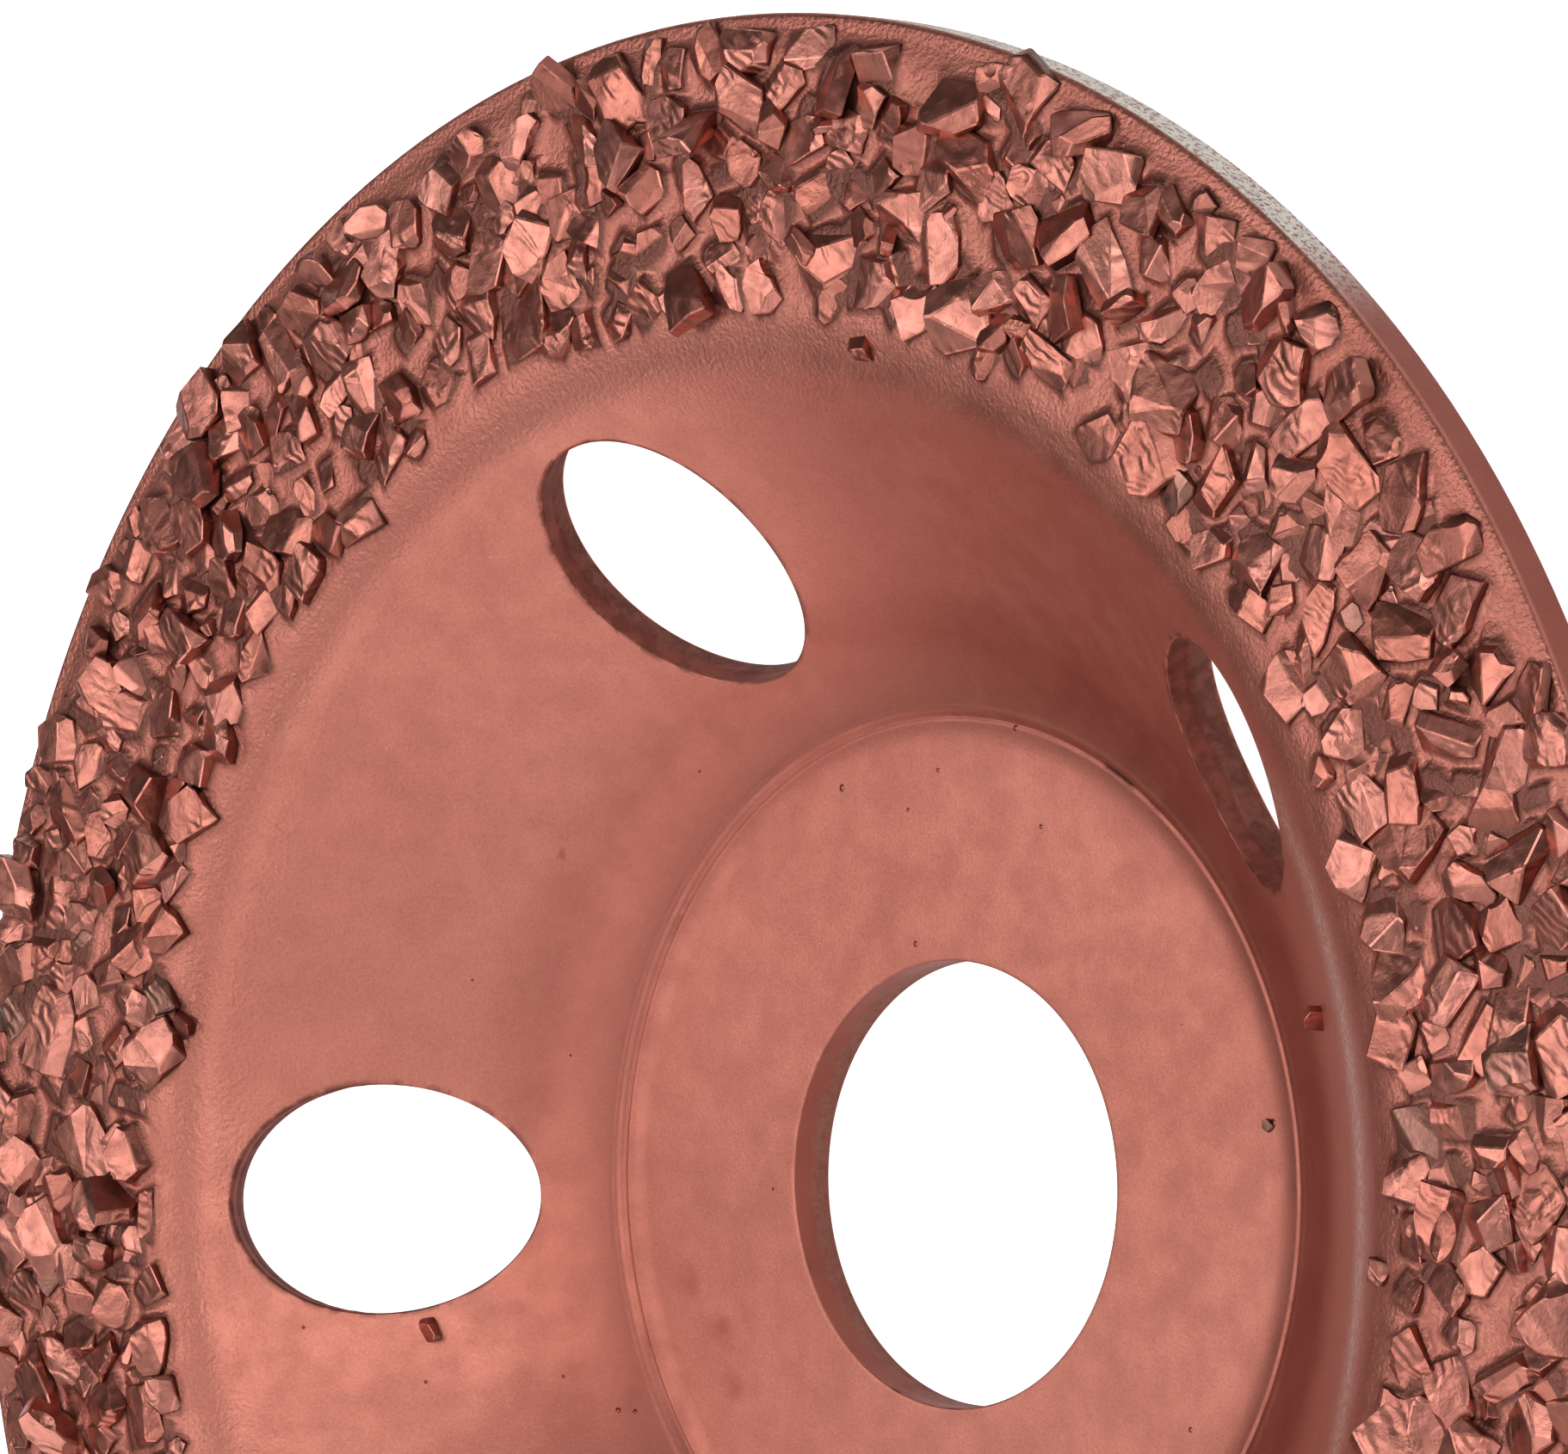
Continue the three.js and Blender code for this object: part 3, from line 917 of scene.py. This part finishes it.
coat = {
    "innerRadius": kneeEnd + 0.5 * mm,
    "outerRadius": cup["rimRadius"] - 1.5 * mm,
    "innerWander": 1.6 * mm,
    "outerWander": 1.2 * mm,
    "sizes": (3.3 * mm, 1.4 * mm),  # of the first and the last grains laid
    "sizeFall": 1.4,  # the sizes fall slowly at first, then faster
    "sizeSpread": (0.86, 1.14),
    "stretch": (0.8, 1.25),  # of each side of a shape
    "count": 840,
    "tries": 60000,
    "chips": 170,  # small broken bits between them
    "chipSize": (0.5 * mm, 1.1 * mm),
    "chipStray": 0.5 * mm,  # how far they reach inside the coat's edge
    "crowding": 0.70,  # of two grains' radii
    "bareScale": 230,  # of the noise that says where the coat is thin
    "bareLevel": -0.13,
    "bareChance": 0.88,  # of a grain being left out there
    "tilt": 11,  # degrees, typical
    "standing": 0.045,  # share of grains set on edge
    "standingTilt": (25, 65),  # degrees
    "sink": (0.18, 0.46),  # share of a grain's height that the film hides
    "film": 0.15 * mm,
    "meniscus": 0.24 * mm,
    "meniscusReach": 0.15 * mm,
    "seed": 41,
}


def grainSpin(random):
    # most grains lie flat with a little tilt, some stand on edge
    standing = random.random() < coat["standing"]
    tilt = random.uniform(*coat["standingTilt"]) if standing else random.normal(0, coat["tilt"])
    tilt = math.radians(tilt)
    turns = random.uniform(0, 2 * math.pi, size=2)
    return np.array(Matrix.Rotation(turns[0], 3, "Z") @ Matrix.Rotation(tilt, 3, "X")
                    @ Matrix.Rotation(turns[1], 3, "Z"))


def coatLimits(turn):
    # the coat's two edges wander round the disc
    spot = Vector((math.cos(turn), math.sin(turn), 0.0))
    inner = coat["innerRadius"] + coat["innerWander"] * (0.5 * noise.noise(spot * 7)
                                                         + 0.5 * noise.noise(spot * 19))
    outer = coat["outerRadius"] + coat["outerWander"] * noise.noise(spot * 9 + Vector((4, 0, 2)))
    return inner, outer


def layGrains(random):
    # big grains first, then smaller ones wherever they fit
    places = np.zeros((0, 3))
    tries = 0
    while len(places) < coat["count"] and tries < coat["tries"]:
        tries += 1
        share = len(places) / coat["count"]
        big, small = coat["sizes"]
        size = big + (small - big) * share ** coat["sizeFall"]
        size *= random.uniform(*coat["sizeSpread"])
        turn = random.uniform(0, 2 * math.pi)
        inner, outer = coatLimits(turn)
        radius = math.sqrt(random.uniform(inner ** 2, outer ** 2))
        x, y = radius * math.cos(turn), radius * math.sin(turn)
        patch = noise.noise(Vector((x, y, 0.4)) * coat["bareScale"])
        if patch < coat["bareLevel"] and random.random() < coat["bareChance"]:
            continue
        apart = np.hypot(places[:, 0] - x, places[:, 1] - y)
        if np.any(apart < coat["crowding"] * 0.5 * (places[:, 2] + size)):
            continue
        places = np.vstack([places, (x, y, size)])
    for chip in range(coat["chips"]):
        turn = random.uniform(0, 2 * math.pi)
        inner, outer = coatLimits(turn)
        radius = math.sqrt(random.uniform((inner - coat["chipStray"]) ** 2, outer ** 2))
        size = random.uniform(*coat["chipSize"])
        places = np.vstack([places, (radius * math.cos(turn), radius * math.sin(turn), size)])
    return places


def setGrain(shape, place, size, random, base, stretch):
    # one grain: a broken shape turned any way, sunk a little into the film
    spin = grainSpin(random)
    scale = size * random.uniform(*stretch, size=3)
    points = shape["points"] * scale @ spin.T
    normals = shape["planes"][:, :3] / scale
    lengths = np.linalg.norm(normals, axis=1)
    offsets = shape["planes"][:, 3] / lengths
    normals = (normals / lengths[:, None]) @ spin.T
    low, high = points[:, 2].min(), points[:, 2].max()
    lift = -low - random.uniform(*coat["sink"]) * (high - low)
    centre = np.array([place[0], place[1], base + lift])
    return {"points": points + centre, "faces": shape["faces"], "smooth": shape["smooth"],
            "centre": centre, "size": size, "base": base, "tone": random.random(),
            "normals": normals, "offsets": offsets + normals @ centre}


def joinGrains(name, grains, material):
    # many grains as one mesh, with a tone for each and the height of every point
    points = np.concatenate([item["points"] for item in grains])
    smooth = [flag for item in grains for flag in item["smooth"]]
    faces, tones, heights, start = [], [], [], 0
    for item in grains:
        faces += [[corner + start for corner in face] for face in item["faces"]]
        tones.append(np.full(len(item["points"]), item["tone"]))
        heights.append((item["points"][:, 2] - item["base"]) / grain["tall"])
        start += len(item["points"])
    mesh = bpy.data.meshes.new(name)
    mesh.from_pydata(points.tolist(), [], faces)
    writeMark(mesh, "tone", tones)
    writeMark(mesh, "height", heights)
    mesh.polygons.foreach_set("use_smooth", smooth)
    mesh.materials.append(material)
    piece = addObject(name, mesh)
    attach(piece, "root")
    return piece


shapes = makeShapes()
coatRandom = np.random.default_rng(coat["seed"])
coatGrains = []
for x, y, size in layGrains(coatRandom):
    shape = shapes[coatRandom.integers(len(shapes))]
    coatGrains.append(setGrain(shape, (x, y), size, coatRandom, cup["rimTop"], coat["stretch"]))
print("grains laid:", len(coatGrains))


# braze film: the metal that holds the grains, drawn up round each of them

film = {
    "inner": coat["innerRadius"] - 2.8 * mm,
    "outer": cup["rimRadius"] - 0.35 * mm,
    "turnSteps": 2100,
    "radiusSteps": 112,
    "reach": 2.6 * mm,  # how far from a grain the film is worked out
    "waves": 0.035 * mm,
    "feather": 3.4 * mm,  # how wide the film thins out at its inner edge
    "outerFeather": 2.0 * mm,
    "tuck": 0.03 * mm,  # how far its edges dip under the enamel of the cup
    "depth": 0.35 * mm,  # of its underside in the sheet
    "fullSize": 1.6 * mm,  # smaller grains draw the film up less
    "grimed": (0.30, 0.95),  # share of the full climb where the painted shade sets in
}


def filmSurface():
    # the film's top on a grid of turns and radii, and how far grains draw it up
    turns = np.linspace(0, 2 * math.pi, film["turnSteps"], endpoint=False)
    radii = np.linspace(film["inner"], film["outer"], film["radiusSteps"])
    x, y = radii[:, None] * np.cos(turns), radii[:, None] * np.sin(turns)
    level = cup["rimTop"]
    drawn = np.zeros(x.shape)
    stepTurn, stepRadius = 2 * math.pi / len(turns), radii[1] - radii[0]
    for item in coatGrains:
        cx, cy = item["centre"][:2]
        row = (math.hypot(cx, cy) - film["inner"]) / stepRadius
        column = math.atan2(cy, cx) / stepTurn
        tall, wide = film["reach"] / stepRadius, film["reach"] / (math.hypot(cx, cy) * stepTurn)
        rows = np.arange(max(0, int(row - tall)), min(len(radii), int(row + tall) + 1))
        columns = np.arange(int(column - wide), int(column + wide) + 1) % len(turns)
        window = np.ix_(rows, columns)
        spots = np.stack([x[window], y[window], np.full(x[window].shape, level + coat["film"])], -1)
        away = (spots @ item["normals"].T - item["offsets"]).max(-1)
        climb = np.exp(-np.maximum(away, 0) / coat["meniscusReach"])
        climb *= coat["meniscus"] * min(1.0, item["size"] / film["fullSize"])
        drawn[window] = np.maximum(drawn[window], climb)
    flat = np.stack([x, y, np.zeros(x.shape)], -1).reshape(-1, 3)
    waves = noiseAt(flat, 420, 2.0) + 0.5 * noiseAt(flat, 1300, 6.0)
    body = coat["film"] + film["waves"] * waves.reshape(x.shape)
    radius = np.hypot(x, y)
    innerEdge = smoothStep(film["inner"], film["inner"] + film["feather"], radius)
    outerEdge = 1 - smoothStep(film["outer"] - film["outerFeather"], film["outer"], radius)
    raised = (body + drawn) * innerEdge * outerEdge
    tucked = film["tuck"] * (1 - innerEdge * outerEdge)
    droop = faceHeight(radius) - level
    return np.stack([x, y, level + droop + raised - tucked], -1), drawn


def makeFilm():
    top, drawn = filmSurface()
    under = top.copy()
    under[..., 2] = faceHeight(radiusOf(top)) - film["depth"]
    # painted shade where the film climbs round a grain
    grime = smoothStep(*film["grimed"], drawn / coat["meniscus"])
    patches = [gridPatch(top, grime=grime), gridPatch([top[-1], under[-1]]),
               gridPatch([top[0], under[0]]), gridPatch(under[[0, -1]])]
    piece = weldPatches("brazeFilm", patches, ["grime"], weld=1e-7)
    piece.data.materials.append(filmMaterial())
    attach(piece, "root")
    return piece


brazeFilm = makeFilm()
print("braze film:", len(brazeFilm.data.polygons), "faces")


# the grains as the frame's sectors, then the strays

carbide = grainMaterial()
sectorNames = sorted(name for name in frame["nodes"] if name.startswith("grit_sector_"))
bySector = [[] for name in sectorNames]
for item in coatGrains:
    turn = math.atan2(item["centre"][1], item["centre"][0]) % (2 * math.pi)
    bySector[int(turn / (2 * math.pi) * len(sectorNames))].append(item)
for number, (node, grains) in enumerate(zip(sectorNames, bySector), 1):
    piece = joinGrains(f"gritSector{number:02d}", grains, carbide)
    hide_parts(node)

stray = {
    "height": 1.15,  # of a stray's shape, beside the longest side of its node
    "stretch": (0.9, 1.1),
    "seed": 5,
}
strayRandom = np.random.default_rng(stray["seed"])
strayNames = sorted(name for name in frame["nodes"] if name.startswith("stray_grain_"))
for node in strayNames:
    low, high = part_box(node)
    middle, size = (low + high) / 2, max(high - low) * stray["height"]
    base = float(faceHeight(math.hypot(middle.x, middle.y)))
    shape = shapes[strayRandom.integers(len(shapes))]
    item = setGrain(shape, middle[:2], size, strayRandom, base, stray["stretch"])
    # drawn out sideways to fill the width and depth that its node has in the frame
    flat = item["points"][:, :2]
    grow = np.array((high - low)[:2]) / (flat.max(0) - flat.min(0))
    item["points"][:, :2] = np.array(low[:2]) + (flat - flat.min(0)) * grow
    words = node.split("_")
    piece = joinGrains(words[0] + "".join(word.title() for word in words[1:]), [item], carbide)
    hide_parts(node)
print("grit sectors:", len(sectorNames), "strays:", len(strayNames))


# floor, light and camera

studio = {
    "floorSize": 3.0,
    "floorGap": 0.02 * mm,  # under the disc
    "floorTone": (0.90, 0.90, 0.90),
    "floorLight": 0.12,  # what the disc gets from the floor
    "floorSeen": 1.00,  # how bright the camera finds it
    "worldLight": 0.05,
    "worldSeen": 1.05,
    "lampDistance": 0.80,
    "lampSize": 0.46,
    # soft boxes: the way to each from the disc, seen from the camera (right, up, toward it),
    # and its power in watts
    "lamps": {
        "key": ((-0.97, 0.05, 0.25), 1.42),
        "front": ((-0.38, 0.14, 0.91), 1.45),
        "lowLeft": ((-0.43, -0.52, 0.74), 0.84),
        "low": ((-0.50, -0.77, 0.41), 0.68),
        "upper": ((-0.04, 0.39, 0.92), 1.00),
        "under": ((-0.50, -0.86, -0.11), 0.85),
        "side": ((-0.79, -0.61, 0.10), 0.30),
        "face": ((-0.17, -0.27, 0.95), 0.32),
        "high": ((-0.48, 0.55, 0.68), 0.33),
        "backLeft": ((-0.97, -0.20, -0.09), 0.07),
        "lowRight": ((0.32, -0.83, 0.46), 0.78),
    },
}
view = {
    "azimuth": math.radians(-3.73),  # of the camera, from +X
    "elevation": math.radians(44.86),
    "roll": math.radians(-89.1),
    "distance": 430.9 * mm,
    "aim": Vector((-10.87, 23.36, 2.5)) * mm,
    "lens": 195.0,
}


def makeCamera():
    az, el = view["azimuth"], view["elevation"]
    back = Vector((math.cos(az) * math.cos(el), math.sin(az) * math.cos(el), math.sin(el)))
    camera = addObject("camera", bpy.data.cameras.new("camera"))
    camera.data.lens = view["lens"]
    camera.data.sensor_width = 36.0
    camera.data.clip_start, camera.data.clip_end = 0.01, 20.0
    facing = (-back).to_track_quat("-Z", "Y").to_matrix() @ Matrix.Rotation(view["roll"], 3, "Z")
    place = Matrix.Translation(view["aim"] + back * view["distance"])
    camera.matrix_world = place @ facing.to_4x4()
    bpy.context.scene.camera = camera
    return camera


def seenAndLit(tree, seen, lit):
    # one strength for what the camera sees and another for what lights the disc
    ray = addNode(tree, "ShaderNodeLightPath").outputs["Is Camera Ray"]
    return plus(tree, times(tree, ray, seen - lit), lit)


def makeFloor():
    half, level = studio["floorSize"] / 2, cadBox[0].z - studio["floorGap"]
    corners = [(x * half, y * half, level) for x, y in ((-1, -1), (1, -1), (1, 1), (-1, 1))]
    mesh = bpy.data.meshes.new("floor")
    mesh.from_pydata(corners, [], [(0, 1, 2, 3)])
    material, tree = newMaterial("palePaper")
    shader = tree.nodes["Principled BSDF"]
    shader.inputs["Base Color"].default_value = (*studio["floorTone"], 1)
    shader.inputs["Roughness"].default_value = 0.9
    shader.inputs["Specular IOR Level"].default_value = 0.1
    shader.inputs["Emission Color"].default_value = (1, 1, 1, 1)
    glow = seenAndLit(tree, studio["floorSeen"], studio["floorLight"])
    tree.links.new(glow, shader.inputs["Emission Strength"])
    mesh.materials.append(material)
    floor = addObject("floor", mesh)


def makeLamp(name, camera):
    toward, power = studio["lamps"][name]
    light = bpy.data.lights.new(name, "AREA")
    light.shape = "DISK"
    light.size = studio["lampSize"]
    light.energy = power
    direction = (camera.matrix_world.to_3x3() @ Vector(toward)).normalized()
    lamp = addObject(name, light)
    lamp.location = Vector((0, 0, cup["rimTop"])) + direction * studio["lampDistance"]
    lamp.rotation_mode = "QUATERNION"
    lamp.rotation_quaternion = (-direction).to_track_quat("-Z", "Y")


def makeWorld():
    world = bpy.data.worlds.new("studio")
    bpy.context.scene.world = world
    world.use_nodes = True
    tree = world.node_tree
    ground = tree.nodes["Background"]
    glow = seenAndLit(tree, studio["worldSeen"], studio["worldLight"])
    tree.links.new(glow, ground.inputs["Strength"])
    ground.inputs["Color"].default_value = (1, 1, 1, 1)


camera = makeCamera()
makeFloor()
makeWorld()
for name in studio["lamps"]:
    makeLamp(name, camera)
bpy.context.scene.view_settings.view_transform = "Standard"
print("studio ready")
